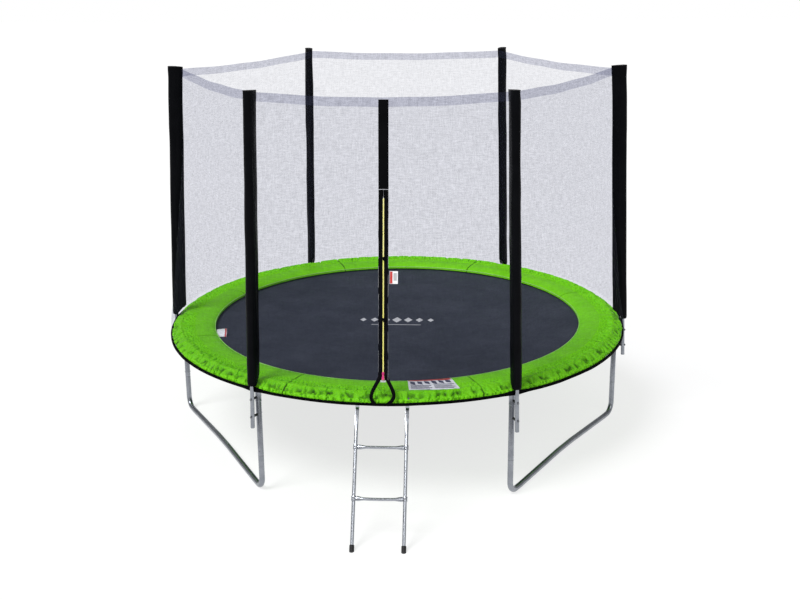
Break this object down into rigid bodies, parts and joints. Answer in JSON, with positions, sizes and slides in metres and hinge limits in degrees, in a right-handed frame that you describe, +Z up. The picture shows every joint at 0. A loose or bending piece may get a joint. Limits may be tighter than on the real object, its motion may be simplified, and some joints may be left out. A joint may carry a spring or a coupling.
{
  "type": "trampoline",
  "caption": "Round garden trampoline on bent tube legs, with a padded edge, a zipped safety net between sleeved poles and a hooked ladder.",
  "frame": {"origin": "on the ground, under the middle of the footprint of the whole object, ladder included; the centre of the bed is 0.240 m behind it", "axes": "+Z up, +Y from the ladder and zip at the front towards the back, +X to the right of someone facing the front"},
  "size_m": [3.1664, 3.5746, 2.4221],
  "materials": {
    "galvanised_steel": "galvanised, satin, faintly mottled",
    "ladder_steel": "bright zinc plated, semi-gloss",
    "zinc_fastener": "dull zinc",
    "sleeve_cover": "black coated woven cover over foam, faint sheen",
    "pad_cover": "lime green PVC-coated cover, satin, creased at the skirt",
    "mat_weave": "tightly woven polypropylene, matt",
    "net_mesh": "fine white knitted mesh, see-through",
    "black_plastic": "matt moulded",
    "zip_pull": "satin moulded"
  },
  "bodies": {
    "frame": {"top_rail_1": "galvanised_steel", "leg_upright_1": "galvanised_steel", "net_pole_1": "galvanised_steel", "pole_sleeve_1": "sleeve_cover", "top_rail_2": "galvanised_steel", "leg_upright_2": "galvanised_steel", "net_pole_2": "galvanised_steel", "pole_sleeve_2": "sleeve_cover", "top_rail_3": "galvanised_steel", "leg_upright_3": "galvanised_steel", "net_pole_3": "galvanised_steel", "pole_sleeve_3": "sleeve_cover", "top_rail_4": "galvanised_steel", "leg_upright_4": "galvanised_steel", "net_pole_4": "galvanised_steel", "pole_sleeve_4": "sleeve_cover", "top_rail_5": "galvanised_steel", "leg_upright_5": "galvanised_steel", "net_pole_5": "galvanised_steel", "pole_sleeve_5": "sleeve_cover", "top_rail_6": "galvanised_steel", "leg_upright_6": "galvanised_steel", "net_pole_6": "galvanised_steel", "pole_sleeve_6": "sleeve_cover", "upper_bolt_1": "zinc_fastener", "upper_bolt_2": "zinc_fastener", "upper_bolt_3": "zinc_fastener", "upper_bolt_4": "zinc_fastener", "upper_bolt_5": "zinc_fastener", "upper_bolt_6": "zinc_fastener", "lower_bolt_1": "zinc_fastener", "lower_bolt_2": "zinc_fastener", "lower_bolt_3": "zinc_fastener", "lower_bolt_4": "zinc_fastener", "lower_bolt_5": "zinc_fastener", "lower_bolt_6": "zinc_fastener", "leg_base_1": "galvanised_steel", "leg_base_2": "galvanised_steel", "leg_base_3": "galvanised_steel", "spring_ring": "galvanised_steel", "safety_pad": "pad_cover", "net_panel_1": "net_mesh", "net_panel_2": "net_mesh", "net_panel_3": "net_mesh", "net_panel_4": "net_mesh", "net_panel_5": "net_mesh", "net_front": "net_mesh"},
    "bed": {"jump_mat": "mat_weave"},
    "left_flap": {"door_flap_left": "net_mesh"},
    "right_flap": {"door_flap_right": "net_mesh"},
    "slider": {"zip_slider": "zip_pull"},
    "ladder": {"ladder_stile_left": "ladder_steel", "ladder_foot_left": "black_plastic", "ladder_stile_right": "ladder_steel", "ladder_foot_right": "black_plastic", "ladder_rung_lower": "ladder_steel", "ladder_rung_upper": "ladder_steel"}
  },
  "joints": [
    {"name": "mat_bounce", "type": "slide", "parent": "frame", "child": "bed", "axis": [0, 0, 1], "range_m": [-0.3, 0], "stiffness_N_per_m": 5000, "springref_m": 0.0047, "deforming": ["spring_ring"]},
    {"name": "left_flap_hinge", "type": "hinge", "parent": "frame", "child": "left_flap", "pos_m": [-0.49822, -1.2237, 0.7465], "axis": [-0.3994, -0.122, -0.9086], "range_deg": [0, 115]},
    {"name": "right_flap_hinge", "type": "hinge", "parent": "frame", "child": "right_flap", "pos_m": [0.49822, -1.2237, 0.7465], "axis": [-0.3994, 0.122, 0.9086], "range_deg": [0, 115]},
    {"name": "zip_slide", "type": "slide", "parent": "right_flap", "child": "slider", "axis": [0, 0.2028, 0.9792], "range_m": [0, 0.95]},
    {"name": "ladder_swing", "type": "hinge", "parent": "frame", "child": "ladder", "pos_m": [0.005, -1.25832, 0.68], "axis": [-1, 0, 0], "range_deg": [0, 25]}
  ]
}
